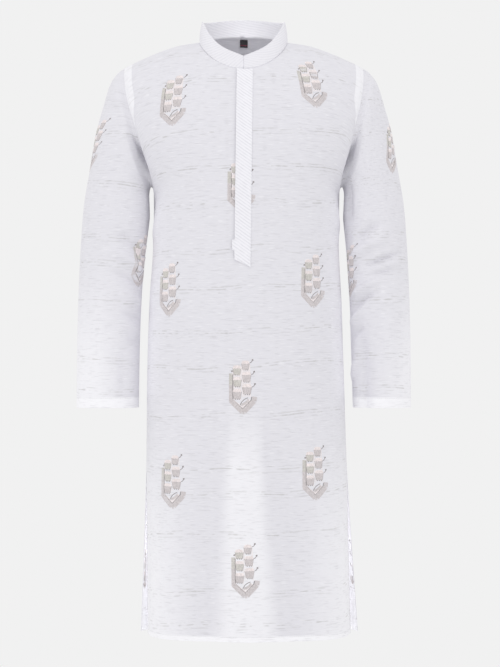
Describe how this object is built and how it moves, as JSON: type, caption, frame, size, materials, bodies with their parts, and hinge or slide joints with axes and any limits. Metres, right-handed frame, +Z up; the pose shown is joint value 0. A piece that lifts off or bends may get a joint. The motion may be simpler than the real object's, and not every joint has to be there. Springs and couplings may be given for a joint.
{
  "type": "kurta tunic",
  "caption": "Knee-length cotton kurta tunic, hollow as if worn, with a band collar, half placket, long sleeves and open side slits.",
  "frame": {"origin": "centre of the neck, at the height where the shoulder seams meet the collar", "axes": "+Z up, from hem to collar; the front faces -Y; +X is the wearer's left"},
  "size_m": [0.6076, 0.2398, 1.1218],
  "materials": {
    "slub_cotton": "plain woven cotton with horizontal slubs and small woven figures, matt",
    "striped_cotton": "fine cotton with narrow diagonal stripes, matt",
    "woven_label": "dark woven ribbon, slightly glossy"
  },
  "bodies": {
    "root": {"front_body": "slub_cotton", "back_body": "slub_cotton", "sleeve_left": "slub_cotton", "sleeve_right": "slub_cotton", "collar": "striped_cotton", "placket": "striped_cotton", "neck_label": "woven_label"}
  },
  "joints": []
}
